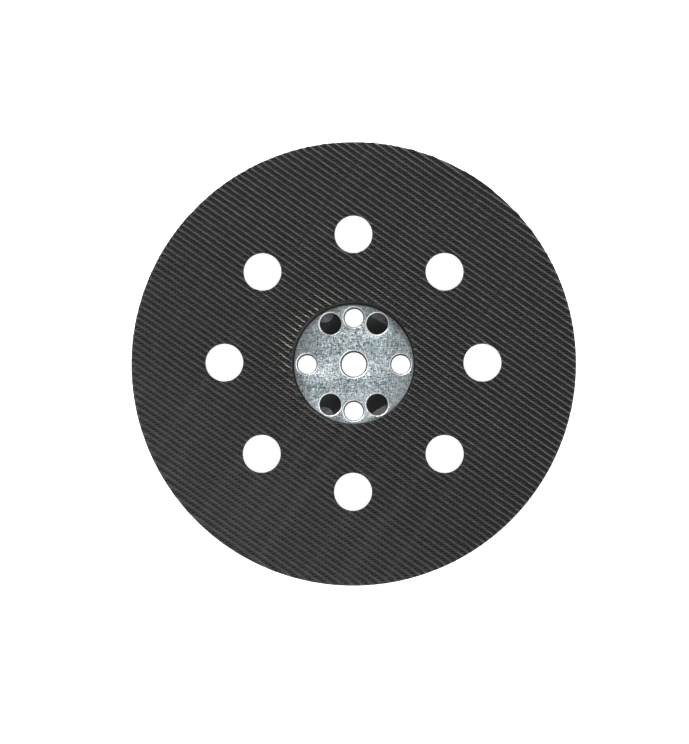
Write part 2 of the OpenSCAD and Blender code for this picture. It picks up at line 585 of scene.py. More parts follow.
# Painted highlight: the same nylon, paler and half-glossy, on upward-facing faces of the studs in the
# closed pockets.
CARRIER_EDGE_HIGHLIGHT = Finish("carrier_nylon_edge_highlight", Pattern.FILM, "3a3b3e", "6e7074", 0.28, 0.06, grain=1 * MM)
# Bright zinc with a blue passivation on cold-rolled steel: a mottled, half-bright metal.
ZINC = Finish(
    "hub_zinc_plating",
    Pattern.ZINC,
    "77848a",
    "e0eaee",
    0.44,
    0.14,
    1.0,
    grain=0.34 * MM,
    depth=0.012 * MM,
)
# Painted highlight: the same zinc on the plate's rolled edges, paler and evenly bright where they catch
# the light.
ZINC_EDGE_HIGHLIGHT = Finish("hub_zinc_edge_highlight", Pattern.FILM, "e6ecee", "f6f9fa", 0.5, 0.08, 1.0, grain=1 * MM)
# Copolyamide hot-melt film: dark amber, a little glossy where it was squeezed out.
HOT_MELT = Finish("bond_hot_melt", Pattern.FILM, "15130f", "231f18", 0.5, 0.1, grain=2 * MM)


# ---------------------------------------------------------------------------- sizes


@dataclass(frozen=True)
class PadSizes:
    """The pad's own sizes, in metres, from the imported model.

    Attributes:
        pad_r: Radius of the hook face.
        recess_r: Radius of the hub recess.
        plate_r: Radius of the hub plate.
        bore_r: Radius of the plate's centre bore.
        screw_circle_r: Radius of the circle of the screw holes and windows.
        screw_r: Radius of a screw hole in the plate.
        dust_circle_r: Radius of the circle of the dust holes.
        dust_r: Radius of a dust hole in the hook cloth.
        dust_count: How many dust holes there are.
        cloth_z: Height of the cloth's underside.
        top_z: Height of the hook tips.
    """

    pad_r: float
    recess_r: float
    plate_r: float
    bore_r: float
    screw_circle_r: float
    screw_r: float
    dust_circle_r: float
    dust_r: float
    dust_count: int
    cloth_z: float
    top_z: float

    @classmethod
    def from_frame(cls, hub_gap: float = 0.32 * MM) -> "PadSizes":
        """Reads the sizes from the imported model.

        Args:
            hub_gap: Gap between the hub plate's edge and the recess wall.

        Returns:
            The sizes.
        """
        mounts = {m["name"]: m["dims"] for m in frame["record"]["mounts"]}
        cloth_low, cloth_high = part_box("hook_cloth")
        plate_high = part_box("hub_plate")[1]
        return cls(
            pad_r=cloth_high[0],
            recess_r=plate_high[0] + hub_gap,
            plate_r=plate_high[0],
            bore_r=mounts["centre_bore"]["r_mm"] * MM,
            screw_circle_r=mounts["screw_holes_x"]["spacing_x_mm"] / 2 * MM,
            screw_r=mounts["screw_holes_x"]["hole_r_mm"] * MM,
            dust_circle_r=mounts["dust_pattern"]["pcd_mm"] / 2 * MM,
            dust_r=mounts["dust_pattern"]["hole_r_mm"] * MM,
            dust_count=mounts["dust_pattern"]["count"],
            cloth_z=cloth_low[2],
            top_z=cloth_high[2],
        )

    def dust_centres(self) -> list[Vector]:
        """Centres of the dust holes."""
        return circle_points(self.dust_circle_r, self.dust_count)

    def face_outlines(self, inset: float = 0.0) -> list[list[Vector]]:
        """Outlines of the hook face: its rim, the recess and the dust holes.

        Args:
            inset: How far the outlines stand back into the cloth.

        Returns:
            One closed ring of points for each.
        """
        rim_steps, hole_steps = 256, 56
        rings = [
            circle_points(self.pad_r - inset, rim_steps),
            circle_points(self.recess_r + inset, rim_steps // 2),
        ]
        for centre in self.dust_centres():
            rings.append(circle_points(self.dust_r + inset, hole_steps, (centre.x, centre.y)))
        return rings


# --------------------------------------------------------------------------- hook tape


class Thread(Enum):
    """What a row of the tape is made of."""

    HOOK = "a monofilament hook, bent over along the row"
    RIB = "a stretch of the ribbed pile yarn that the hooks stand in"
    CROSS = "a cross yarn, which slants from one rib to the next over a dark gap"


@dataclass(frozen=True)
class Lay:
    """How a thread lies on its row.

    Attributes:
        heading: Direction of the thread from its row, in degrees.
        swing: How far that direction varies, in degrees either way.
        lean: How far the thread leans to either side, in degrees.
        stretch: How far its length varies, as a share either way.
        crease_drop: How much of its height a drawn warp thread takes from it.
        between: How far it stands from its row towards the next, as a share of the pitch.
    """

    heading: float
    swing: float
    lean: float
    stretch: float
    crease_drop: float
    between: float = 0.0


@dataclass(frozen=True)
class Spot:
    """Where a point of the field stands, worked out at each point.

    Attributes:
        place: Its position.
        level: Its position in the plane of the face.
        radius: Its distance from the axis.
        to_hub: Its distance outwards from the recess.
        to_dust: Its distance outwards from the nearest dust hole.
        dust_place: That dust hole's centre.
        inside: Its distance into the cloth from the nearest cut edge.
    """

    place: Socket
    level: Socket
    radius: Socket
    to_hub: Socket
    to_dust: Socket
    dust_place: Socket
    inside: Socket


@dataclass
class HookTape:
    """The woven hook tape: ground cloth, ribs and cross yarns, and rows of hooks.

    Attributes:
        pad: The pad's sizes.
        row_pitch: Distance from row to row.
        column_pitch: Distance from hook to hook along a row.
        row_degrees: Direction of the rows, from +X.
        ground_t: Thickness of the ground cloth.
        rib_half: Half of a rib's width at its foot.
        rib_rise: Height of a rib over the ground cloth's face.
        cross_z: Height of a cross yarn's axis over that face.
        cross_length: Length of a cross yarn.
        cross_r: Radius of a cross yarn.
        filament_r: Radius of a hook's monofilament.
        hook_span: Length of a hook along its row.
        matted: Width of the band round the recess where the cloth's edge is raised.
        raised_degrees: How steeply it stands at the recess.
        wear_and_falloff_degrees: Direction of the side where the hooks are worn lower and carry painted
            shade, from +X.
        worn_share: How much of the hooks' height is worn off there.
        glint_degrees: Direction of the side of the recess where hooks get a painted glint, from +X.
        bands: How many pieces each thread's rows are divided into.
        creases: Where a warp thread was drawn tight, as distances along a row from the axis.
        lays: How each thread lies.
    """

    pad: PadSizes
    row_pitch: float = 1.474 * MM
    column_pitch: float = 1.04 * MM
    row_degrees: float = -34.5
    ground_t: float = 0.3 * MM
    rib_half: float = 0.52 * MM
    rib_rise: float = 0.66 * MM
    cross_z: float = 0.28 * MM
    cross_length: float = 1.2 * MM
    cross_r: float = 0.1 * MM
    filament_r: float = 0.11 * MM
    hook_span: float = 1.12 * MM
    matted: float = 3.0 * MM
    raised_degrees: float = 16
    wear_and_falloff_degrees: float = 235
    worn_share: float = 0.25
    glint_degrees: float = 150
    bands: int = 3
    creases: tuple[float, ...] = tuple(c * MM for c in (-29.5, -3.5, 2.4, 8.0, 20.5, 29.8, 38.2))
    lays: dict[Thread, Lay] = field(
        default_factory=lambda: {
            Thread.HOOK: Lay(heading=7, swing=3, lean=6, stretch=0.06, crease_drop=0.35),
            Thread.RIB: Lay(heading=14, swing=3, lean=2, stretch=0.04, crease_drop=0.3),
            Thread.CROSS: Lay(heading=34.5, swing=6, lean=4, stretch=0.08, crease_drop=0.3, between=0.5),
        }
    )

    def build(self) -> None:
        ground_z = self.pad.cloth_z + self.ground_t
        plate = filled_plate(self.pad.face_outlines(), self.pad.cloth_z, ground_z, 0.05 * MM, 2)
        ground = finish_piece("hook_tape_ground", plate, GROUND_CLOTH.build())
        pieces = []
        finishes = {Thread.HOOK: HOOK_NYLON, Thread.RIB: PILE_YARN, Thread.CROSS: PILE_YARN}
        names = {Thread.HOOK: "hook_rows", Thread.RIB: "pile_ribs", Thread.CROSS: "cross_yarns"}
        for thread, finish in finishes.items():
            material = finish.build()
            for band in range(self.bands):
                name = f"{names[thread]}_{band + 1}"
                pieces.append(self._rows(name, thread, material, band, ground_z))
        for piece in [ground, *pieces]:
            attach(piece, BODY)
        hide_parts("hook_cloth")

    def _hook_height(self) -> float:
        """Height of the hook tips over the ground cloth's face."""
        return self.pad.top_z - self.pad.cloth_z - self.ground_t

    def _hook(self) -> bpy.types.Mesh:
        """One hook: a monofilament arch along +X, with its free end cut short of the ground."""
        height = self._hook_height() - self.filament_r
        path = [
            (-0.44, -0.05),
            (-0.5, 0.5),
            (-0.34, 0.88),
            (0.0, 1.0),
            (0.34, 0.88),
            (0.5, 0.5),
            (0.44, 0.25),
        ]
        points = [Vector((x * self.hook_span, 0, z * height)) for x, z in path]
        radii = [self.filament_r] * (len(path) - 1) + [0.8 * self.filament_r]
        return tube(points, radii, 5)

    def _rib(self) -> bpy.types.Mesh:
        """A stretch of rib along +X, which runs into the next one."""
        reach = 0.7 * self.column_pitch
        shares = ((-1, 0.45), (-0.6, 0.85), (0, 1.0), (0.6, 0.85), (1, 0.45))
        points = [Vector((s * reach, 0, 0)) for s, _ in shares]
        mesh = tube(points, [self.rib_half * k for _, k in shares], 4)
        mesh.transform(Matrix.Diagonal((1, 1, self.rib_rise / self.rib_half, 1)))
        return mesh

    def _cross(self) -> bpy.types.Mesh:
        """A cross yarn along +X, thicker in its middle."""
        shares = ((-0.5, 0.5), (-0.25, 0.9), (0.0, 1.0), (0.25, 0.9), (0.5, 0.5))
        points = [Vector((s * self.cross_length, 0, self.cross_z)) for s, _ in shares]
        return tube(points, [self.cross_r * k for _, k in shares], 6)

    def _rows(
        self, name: str, thread: Thread, material: bpy.types.Material, band: int, ground_z: float
    ) -> bpy.types.Object:
        """Repeats a thread over the lattice of hooks, within a band of the face.

        Args:
            name: The piece's name.
            thread: What is repeated.
            material: Its finish.
            band: Which of the bands across the face.
            ground_z: Height of the ground cloth's face.

        Returns:
            The piece, as a plain mesh.
        """
        shapes = {Thread.HOOK: self._hook, Thread.RIB: self._rib, Thread.CROSS: self._cross}
        shape = shapes[thread]()
        source = bpy.data.objects.new(f"{name}_shape", shape)
        tree = self._field_tree(self.lays[thread])
        carrier = bpy.data.objects.new(name, bpy.data.meshes.new(name))
        bpy.context.scene.collection.objects.link(carrier)
        modifier = carrier.modifiers.new("rows", "NODES")
        modifier.node_group = tree
        width = 2 * self.pad.pad_r / self.bands
        values = {
            "Shape": source,
            "Material": material,
            "Row pitch": self.row_pitch,
            "Column pitch": self.column_pitch,
            "Row direction": math.radians(self.row_degrees),
            "Between": self.lays[thread].between * self.row_pitch,
            "Rim radius": self.pad.pad_r,
            "Recess radius": self.pad.recess_r,
            "Dust circle": self.pad.dust_circle_r,
            "Dust radius": self.pad.dust_r,
            "Dust count": self.pad.dust_count,
            "Band low": -self.pad.pad_r + band * width,
            "Band high": -self.pad.pad_r + (band + 1) * width,
            "Ground height": ground_z,
            "Matted width": self.matted,
            "Seed": 7,
        }
        for socket in tree.interface.items_tree:
            if socket.in_out == "INPUT":
                modifier[socket.identifier] = values[socket.name]
        mesh = evaluated_mesh(carrier)
        bpy.data.objects.remove(source)
        return finish_piece(name, mesh, None, 75)

    def _field_tree(self, lay: Lay) -> bpy.types.NodeTree:
        """Builds the geometry nodes that repeat a thread over the lattice.

        Args:
            lay: How the thread lies on its row.

        Returns:
            The node tree.
        """
        tree = bpy.data.node_groups.new("hook_field", "GeometryNodeTree")
        sockets = {
            "Shape": "NodeSocketObject",
            "Material": "NodeSocketMaterial",
            "Row pitch": "NodeSocketFloat",
            "Column pitch": "NodeSocketFloat",
            "Row direction": "NodeSocketFloat",
            "Between": "NodeSocketFloat",
            "Rim radius": "NodeSocketFloat",
            "Recess radius": "NodeSocketFloat",
            "Dust circle": "NodeSocketFloat",
            "Dust radius": "NodeSocketFloat",
            "Dust count": "NodeSocketInt",
            "Band low": "NodeSocketFloat",
            "Band high": "NodeSocketFloat",
            "Ground height": "NodeSocketFloat",
            "Matted width": "NodeSocketFloat",
            "Seed": "NodeSocketInt",
        }
        for label, kind in sockets.items():
            tree.interface.new_socket(label, in_out="INPUT", socket_type=kind)
        tree.interface.new_socket("Geometry", in_out="OUTPUT", socket_type="NodeSocketGeometry")
        given = add_node(tree, "NodeGroupInput").outputs
        lattice, along = self._lattice(tree, given)
        spot = self._spot(tree, given)
        kept = self._kept(tree, given, lattice, along, spot)
        threads = self._threads(tree, given, lay, kept, along, spot)
        cut = self._cut(tree, given, threads, spot)
        dressed = add_node(
            tree, "GeometryNodeSetMaterial", {"Geometry": cut, "Material": given["Material"]}
        ).outputs["Geometry"]
        add_node(tree, "NodeGroupOutput", {"Geometry": dressed})
        return tree

    def _lattice(self, tree: bpy.types.NodeTree, given: Any) -> tuple[Socket, Socket]:
        """Lays out one point for each thread, on a lattice whose X axis runs along the rows.

        Args:
            tree: The node tree.
            given: Its inputs, by name.

        Returns:
            The points, and the distance of each along its row from the axis.
        """
        rows = 2 * math.ceil(self.pad.pad_r / self.row_pitch) + 1
        columns = 2 * math.ceil(self.pad.pad_r / self.column_pitch) + 1
        grid = add_node(
            tree,
            "GeometryNodeMeshGrid",
            {
                "Size X": output_of(
                    tree, "ShaderNodeMath", given["Column pitch"], columns - 1, operation="MULTIPLY"
                ),
                "Size Y": output_of(
                    tree, "ShaderNodeMath", given["Row pitch"], rows - 1, operation="MULTIPLY"
                ),
                "Vertices X": columns,
                "Vertices Y": rows,
            },
        ).outputs["Mesh"]
        across = add_node(tree, "ShaderNodeCombineXYZ", {"Y": given["Between"]}).outputs[0]
        spread = add_node(
            tree, "GeometryNodeTransform", {"Geometry": grid, "Translation": across}
        ).outputs["Geometry"]
        flat_place = add_node(tree, "GeometryNodeInputPosition").outputs[0]
        along = add_node(tree, "ShaderNodeSeparateXYZ", {0: flat_place}).outputs["X"]
        numbered = add_node(
            tree,
            "GeometryNodeStoreNamedAttribute",
            {"Geometry": spread, "Name": "along", "Value": along},
            data_type="FLOAT",
            domain="POINT",
        ).outputs["Geometry"]
        turn = add_node(tree, "ShaderNodeCombineXYZ", {"Z": given["Row direction"]}).outputs[0]
        lattice = add_node(
            tree,
            "GeometryNodeTransform",
            {"Geometry": numbered, "Rotation": turn},
        ).outputs["Geometry"]
        along = add_node(
            tree, "GeometryNodeInputNamedAttribute", {"Name": "along"}, data_type="FLOAT"
        ).outputs["Attribute"]
        return lattice, along

    def _spot(self, tree: bpy.types.NodeTree, given: Any) -> Spot:
        """Works out where each point stands on the face.

        Args:
            tree: The node tree.
            given: Its inputs, by name.

        Returns:
            Its place and its distances from the cut edges.
        """
        place = add_node(tree, "GeometryNodeInputPosition").outputs[0]
        level = output_of(tree, "ShaderNodeVectorMath", place, (1, 1, 0), operation="MULTIPLY")
        radius = add_node(tree, "ShaderNodeVectorMath", {0: level}, operation="LENGTH").outputs["Value"]
        dust = add_node(
            tree,
            "GeometryNodeMeshCircle",
            {"Vertices": given["Dust count"], "Radius": given["Dust circle"]},
        ).outputs["Mesh"]
        nearest = add_node(
            tree,
            "GeometryNodeProximity",
            {"Geometry": dust, "Sample Position": level},
            target_element="POINTS",
        ).outputs
        to_rim = output_of(tree, "ShaderNodeMath", given["Rim radius"], radius, operation="SUBTRACT")
        to_hub = output_of(tree, "ShaderNodeMath", radius, given["Recess radius"], operation="SUBTRACT")
        to_dust = output_of(
            tree, "ShaderNodeMath", nearest["Distance"], given["Dust radius"], operation="SUBTRACT"
        )
        inside = output_of(
            tree,
            "ShaderNodeMath",
            output_of(tree, "ShaderNodeMath", to_rim, to_hub, operation="MINIMUM"),
            to_dust,
            operation="MINIMUM",
        )
        return Spot(place, level, radius, to_hub, to_dust, nearest["Position"], inside)

    def _kept(
        self, tree: bpy.types.NodeTree, given: Any, lattice: Socket, along: Socket, spot: Spot
    ) -> Socket:
        """Keeps the lattice's points that stand on the cloth and within the band.

        Args:
            tree: The node tree.
            given: Its inputs, by name.
            lattice: The points.
            along: The distance of each along its row from the axis.
            spot: Where each stands.

        Returns:
            The points that are left.
        """
        overhang = 0.2 * MM
        out_of_cloth = output_of(tree, "ShaderNodeMath", spot.inside, -overhang, operation="LESS_THAN")
        below = output_of(tree, "ShaderNodeMath", along, given["Band low"], operation="LESS_THAN")
        above = output_of(tree, "ShaderNodeMath", given["Band high"], along, operation="LESS_THAN")
        dropped = output_of(
            tree,
            "ShaderNodeMath",
            output_of(tree, "ShaderNodeMath", out_of_cloth, below, operation="ADD"),
            above,
            operation="ADD",
        )
        return add_node(
            tree,
            "GeometryNodeDeleteGeometry",
            {
                "Geometry": lattice,
                "Selection": output_of(tree, "ShaderNodeMath", dropped, 0.5, operation="GREATER_THAN"),
            },
            domain="POINT",
        ).outputs["Geometry"]

    def _drawn(self, tree: bpy.types.NodeTree, given: Any, along: Socket) -> Socket:
        """How hard each column's warp thread is drawn: most a little, the creases fully.

        Args:
            tree: The node tree.
            given: Its inputs, by name.
            along: The distance along the row from the axis.

        Returns:
            From 0, loose, to 1, drawn into a crease.
        """
        rarity, slight = 7.0, 0.5
        column = output_of(
            tree,
            "ShaderNodeMath",
            output_of(tree, "ShaderNodeMath", along, given["Column pitch"], operation="DIVIDE"),
            operation="ROUND",
        )
        loose = add_node(
            tree,
            "FunctionNodeRandomValue",
            {2: 0.0, 3: 1.0, "ID": column, "Seed": given["Seed"]},
            data_type="FLOAT",
        ).outputs[1]
        drawn = output_of(
            tree,
            "ShaderNodeMath",
            output_of(tree, "ShaderNodeMath", loose, rarity, operation="POWER"),
            slight,
            operation="MULTIPLY",
        )
        for crease in self.creases:
            here = output_of(
                tree,
                "ShaderNodeMath",
                column,
                float(round(crease / self.column_pitch)),
                0.5,
                operation="COMPARE",
            )
            drawn = output_of(tree, "ShaderNodeMath", drawn, here, operation="MAXIMUM")
        return drawn

    def _threads(
        self,
        tree: bpy.types.NodeTree,
        given: Any,
        lay: Lay,
        kept: Socket,
        along: Socket,
        spot: Spot,
    ) -> Socket:
        """Sets a thread on each point, with its own heading, lean, size and shade.

        Args:
            tree: The node tree.
            given: Its inputs, by name.
            lay: How the thread lies on its row.
            kept: The points.
            along: The distance of each along its row from the axis.
            spot: Where each stands.

        Returns:
            The threads, made real.
        """
        level, radius, to_hub = spot.level, spot.radius, spot.to_hub
        drawn = self._drawn(tree, given, along)
        glint_range = (-0.5, 1.6)

        def own(low: float, high: float, salt: int) -> Socket:
            """A number of its own for each thread.

            Args:
                low: Its least value.
                high: Its greatest value.
                salt: A number that sets this draw apart from the others.

            Returns:
                The number.
            """
            seed = output_of(tree, "ShaderNodeMath", given["Seed"], float(salt), operation="ADD")
            values = {2: low, 3: high, "Seed": seed}
            return add_node(tree, "FunctionNodeRandomValue", values, data_type="FLOAT").outputs[1]

        matted = add_node(
            tree,
            "ShaderNodeMapRange",
            {"Value": to_hub, "From Max": given["Matted width"], "To Min": 1.0, "To Max": 0.0},
        ).outputs["Result"]
        swing = math.radians(lay.swing)
        jitter = output_of(
            tree,
            "ShaderNodeMath",
            own(-swing, swing, 1),
            output_of(tree, "ShaderNodeMath", matted, 2.0, 1.0, operation="MULTIPLY_ADD"),
            operation="MULTIPLY",
        )
        heading = output_of(
            tree,
            "ShaderNodeMath",
            output_of(tree, "ShaderNodeMath", jitter, math.radians(lay.heading), operation="ADD"),
            given["Row direction"],
            operation="ADD",
        )
        turned = add_node(
            tree,
            "ShaderNodeVectorRotate",
            {"Vector": level, "Angle": heading},
            rotation_type="Z_AXIS",
            invert=True,
        ).outputs[0]
        outwards = add_node(
            tree,
            "ShaderNodeSeparateXYZ",
            {0: output_of(tree, "ShaderNodeVectorMath", turned, operation="NORMALIZE")},
        ).outputs
        raised = output_of(
            tree, "ShaderNodeMath", matted, math.radians(self.raised_degrees), operation="MULTIPLY"
        )
        tip = output_of(tree, "ShaderNodeMath", raised, outwards["X"], operation="MULTIPLY")
        roll = output_of(
            tree,
            "ShaderNodeMath",
            raised,
            output_of(tree, "ShaderNodeMath", outwards["Y"], -1.0, operation="MULTIPLY"),
            operation="MULTIPLY",
        )
        lean = output_of(
            tree,
            "ShaderNodeMath",
            roll,
            own(-math.radians(lay.lean), math.radians(lay.lean), 2),
            operation="ADD",
        )
        pitch = output_of(
            tree,
            "ShaderNodeMath",
            tip,
            own(-math.radians(lay.lean) / 2, math.radians(lay.lean) / 2, 3),
            operation="ADD",
        )
        rotation = add_node(
            tree, "ShaderNodeCombineXYZ", {"X": lean, "Y": pitch, "Z": heading}
        ).outputs[0]
        length = own(1 - lay.stretch, 1 + lay.stretch, 4)

        def reach(degrees: float) -> Socket:
            """How far the thread stands from the axis in a direction.

            Args:
                degrees: The direction, from +X.

            Returns:
                The distance.
            """
            way = math.radians(degrees)
            both = {0: level, 1: (math.cos(way), math.sin(way), 0)}
            return add_node(tree, "ShaderNodeVectorMath", both, operation="DOT_PRODUCT").outputs["Value"]

        # A gradient across the face towards one side: it lowers the hooks there as worn, and the finishes
        # use it for painted shade on the hooks and evened painted light in the pile.
        wear_and_falloff_side = reach(self.wear_and_falloff_degrees)
        worn = add_node(
            tree,
            "ShaderNodeMapRange",
            {"Value": wear_and_falloff_side, "From Min": -0.2 * self.pad.pad_r, "From Max": 0.9 * self.pad.pad_r},
        ).outputs["Result"]
        near_hub = add_node(
            tree,
            "ShaderNodeMapRange",
            {
                "Value": to_hub,
                "From Max": output_of(
                    tree, "ShaderNodeMath", given["Matted width"], 2.0, operation="MULTIPLY"
                ),
                "To Min": 1.0,
                "To Max": 0.0,
            },
        ).outputs["Result"]
        # Painted glint: hooks near the recess on one side, picked at random, are marked to be painted
        # pale.
        glint_side = output_of(
            tree,
            "ShaderNodeMath",
            output_of(tree, "ShaderNodeMath", reach(self.glint_degrees), radius, operation="DIVIDE"),
            0.0,
            operation="MAXIMUM",
        )
        glint_reach = output_of(
            tree,
            "ShaderNodeMath",
            near_hub,
            output_of(tree, "ShaderNodeMath", glint_side, 3.0, operation="POWER"),
            operation="MULTIPLY",
        )
        scuffed = output_of(tree, "ShaderNodeMath", glint_reach, own(*glint_range, 6), operation="MULTIPLY")
        lowered = output_of(tree, "ShaderNodeMath", worn, -self.worn_share, 1.0, operation="MULTIPLY_ADD")
        tall = output_of(
            tree,
            "ShaderNodeMath",
            lowered,
            output_of(tree, "ShaderNodeMath", drawn, -lay.crease_drop, 1.0, operation="MULTIPLY_ADD"),
            operation="MULTIPLY",
        )
        size = add_node(tree, "ShaderNodeCombineXYZ", {"X": length, "Y": 1.0, "Z": tall}).outputs[0]
        shape = add_node(tree, "GeometryNodeObjectInfo", {"Object": given["Shape"]}).outputs["Geometry"]
        copies = add_node(
            tree,
            "GeometryNodeInstanceOnPoints",
            {"Points": kept, "Instance": shape, "Rotation": rotation, "Scale": size},
        ).outputs["Instances"]
        marks = {"shade": own(0.0, 1.0, 5), "worn": worn, "scuffed": scuffed}
        for name, value in marks.items():
            copies = add_node(
                tree,
                "GeometryNodeStoreNamedAttribute",
                {"Geometry": copies, "Name": name, "Value": value},
                data_type="FLOAT",
                domain="INSTANCE",
            ).outputs["Geometry"]
        return add_node(tree, "GeometryNodeRealizeInstances", {"Geometry": copies}).outputs["Geometry"]

    def _cut(self, tree: bpy.types.NodeTree, given: Any, real: Socket, spot: Spot) -> Socket:
        """Ends at the cut edges what would stand past them, as the die does, and lifts the field.

        Args:
            tree: The node tree.
            given: Its inputs, by name.
            real: The threads.
            spot: Where each of their points stands.

        Returns:
            The threads on the ground cloth, each point with its rise as an attribute.
        """
        level, radius, to_dust, dust_place = spot.level, spot.radius, spot.to_dust, spot.dust_place
        up = add_node(tree, "ShaderNodeSeparateXYZ", {0: spot.place}).outputs["Z"]
        # Each point's height, which the finishes turn into painted shade at the foot and painted light on
        # the crown.
        risen = add_node(
            tree,
            "GeometryNodeStoreNamedAttribute",
            {
                "Geometry": real,
                "Name": "rise",
                "Value": output_of(tree, "ShaderNodeMath", up, self._hook_height(), operation="DIVIDE"),
            },
            data_type="FLOAT",
            domain="POINT",
        ).outputs["Geometry"]
        off_hub = output_of(tree, "ShaderNodeMath", given["Recess radius"], radius, operation="DIVIDE")
        off_rim = output_of(tree, "ShaderNodeMath", given["Rim radius"], radius, operation="DIVIDE")
        held = output_of(
            tree,
            "ShaderNodeMath",
            output_of(tree, "ShaderNodeMath", 1.0, off_rim, operation="MINIMUM"),
            off_hub,
            operation="MAXIMUM",
        )
        held = output_of(
            tree,
            "ShaderNodeMath",
            held,
            output_of(tree, "ShaderNodeMath", off_rim, off_hub, operation="MAXIMUM"),
            operation="MINIMUM",
        )
        ringed = add_node(
            tree, "ShaderNodeVectorMath", {0: level, "Scale": held}, operation="SCALE"
        ).outputs[0]
        outward = output_of(
            tree, "ShaderNodeVectorMath", level, dust_place, operation="SUBTRACT"
        )
        away = output_of(tree, "ShaderNodeVectorMath", outward, operation="NORMALIZE")
        to_edge = add_node(
            tree, "ShaderNodeVectorMath", {0: away, "Scale": given["Dust radius"]}, operation="SCALE"
        ).outputs[0]
        pushed = output_of(tree, "ShaderNodeVectorMath", dust_place, to_edge, operation="ADD")
        in_dust = output_of(tree, "ShaderNodeMath", to_dust, 0.0, operation="LESS_THAN")
        cut_place = add_node(
            tree,
            "GeometryNodeSwitch",
            {"Switch": in_dust, "False": ringed, "True": pushed},
            input_type="VECTOR",
        ).outputs["Output"]
        lift = add_node(tree, "ShaderNodeCombineXYZ", {"Z": given["Ground height"]}).outputs[0]
        moved = output_of(tree, "ShaderNodeVectorMath", cut_place, level, operation="SUBTRACT")
        offset = output_of(tree, "ShaderNodeVectorMath", moved, lift, operation="ADD")
        return add_node(
            tree, "GeometryNodeSetPosition", {"Geometry": risen, "Offset": offset}
        ).outputs["Geometry"]


# ------------------------------------------------------------------------- the cushion


@dataclass
class Cushion:
    """The moulded foam ring under the hook tape.

    Attributes:
        pad: The pad's sizes.
        steps: How many steps the lathe has.
        duct_flare: How much wider a dust duct is at the pad's back than at its face.
        side_h: Height of the upright side.
        flange_t: Thickness of the carrier's flange, which the foam wraps.
        wrap: Foam outside the carrier's flange.
        lip_wall: Width of the carrier's lip, which the foam closes on.
        edge: Radius of the edges.
    """

    pad: PadSizes
    steps: int = 256
    duct_flare: float = 2.0 * MM
    side_h: float = 1.0 * MM
    flange_t: float = 2.5 * MM
    wrap: float = 2.0 * MM
    lip_wall: float = 1.9 * MM
    edge: float = 0.8 * MM

    def profile(self) -> list[tuple[float, float]]:
        """The foam's closed cross-section, as radius and height."""
        foam_low, foam_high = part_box("foam_cushion")
        carrier_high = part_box("carrier_plate")[1]
        flange_r = carrier_high[0]
        low, high = foam_low[2], foam_high[2]
        flange_top = low + self.flange_t
        lip_r = self.pad.plate_r + self.lip_wall
        side_z = high - self.side_h
        wrap_r = flange_r + self.wrap
        edge = self.edge
        points = [(lip_r, flange_top), (flange_r, flange_top), (flange_r, low)]
        arc_steps = 6
        for i in range(arc_steps + 1):
            a = -math.pi / 2 + math.pi / 2 * i / arc_steps
            points.append((wrap_r - edge + edge * math.cos(a), low + edge + edge * math.sin(a)))
        points.append((self.pad.pad_r, side_z))
        top = edge / 2
        for i in range(arc_steps + 1):
            a = math.pi / 2 * i / arc_steps
            points.append((self.pad.pad_r - top + top * math.cos(a), high - top + top * math.sin(a)))
        points += [
            (self.pad.recess_r, high), (self.pad.recess_r, carrier_high[2]), (lip_r, carrier_high[2])
        ]
        return points

    def build(self) -> None:
        foam_low, foam_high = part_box("foam_cushion")
        body = bpy.data.objects.new("cushion_body", lathe(self.profile(), self.steps))
        bpy.context.scene.collection.objects.link(body)
        past = 1 * MM
        z_low, z_high = foam_low[2] - past, foam_high[2] + past
        for centre in self.pad.dust_centres():
            made = bmesh.new()
            bmesh.ops.create_cone(
                made,
                cap_ends=True,
                segments=64,
                radius1=self._duct_r(z_low),
                radius2=self._duct_r(z_high),
                depth=z_high - z_low,
                matrix=Matrix.Translation((centre.x, centre.y, (z_low + z_high) / 2)),
            )
            cutter_mesh = bpy.data.meshes.new("duct")
            made.to_mesh(cutter_mesh)
            made.free()
            cutter = bpy.data.objects.new("duct", cutter_mesh)
            bpy.context.scene.collection.objects.link(cutter)
            cut = body.modifiers.new("duct", "BOOLEAN")
            cut.object = cutter
            cut.solver = "EXACT"
            mesh = evaluated_mesh(body)
            bpy.data.objects.remove(cutter)
            body = bpy.data.objects.new("cushion_body", mesh)
            bpy.context.scene.collection.objects.link(body)
        bpy.data.objects.remove(body)
        piece = finish_piece("cushion_body", mesh, FOAM_SKIN.build(), 30)
        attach(piece, BODY)
        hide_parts("foam_cushion")

    def _duct_r(self, z: float) -> float:
        """Radius of a dust duct at a height."""
        return self.pad.dust_r + self.duct_flare * (self.pad.top_z - z) / self.pad.top_z


# ---------------------------------------------------------------------------- the hub


